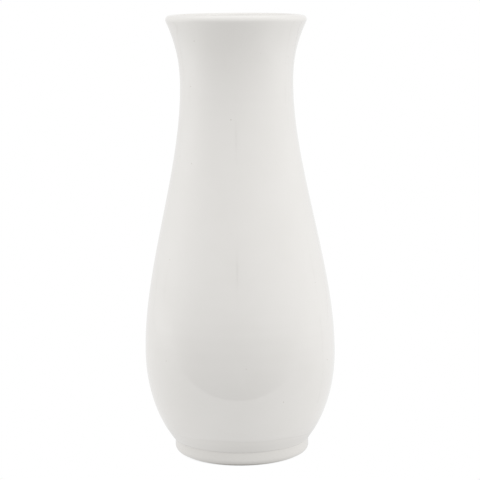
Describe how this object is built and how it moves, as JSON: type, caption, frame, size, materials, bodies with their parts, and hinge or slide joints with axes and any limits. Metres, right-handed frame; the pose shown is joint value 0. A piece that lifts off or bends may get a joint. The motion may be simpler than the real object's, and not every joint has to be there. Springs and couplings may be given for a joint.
{
  "type": "bud vase",
  "caption": "Glazed white porcelain bud vase with a flared rolled lip, slim throat, low round belly and small foot ring",
  "frame": {"origin": "centre of the standing ring, on the plane that the vase stands on", "axes": "+Z along the vase's axis, up through the mouth; X and Y are alike, because the vase is round"},
  "size_m": [0.061, 0.061, 0.14],
  "materials": {
    "porcelain": "bisque, matte and fine-grained",
    "slip": "bisque, matte",
    "glaze": "glossy warm white glaze"
  },
  "bodies": {
    "root": {"porcelain_body": "porcelain", "foot_ring": "porcelain", "luting_slip": "slip", "outer_glaze": "glaze", "inner_glaze": "glaze", "foot_well_glaze": "glaze"}
  },
  "joints": []
}
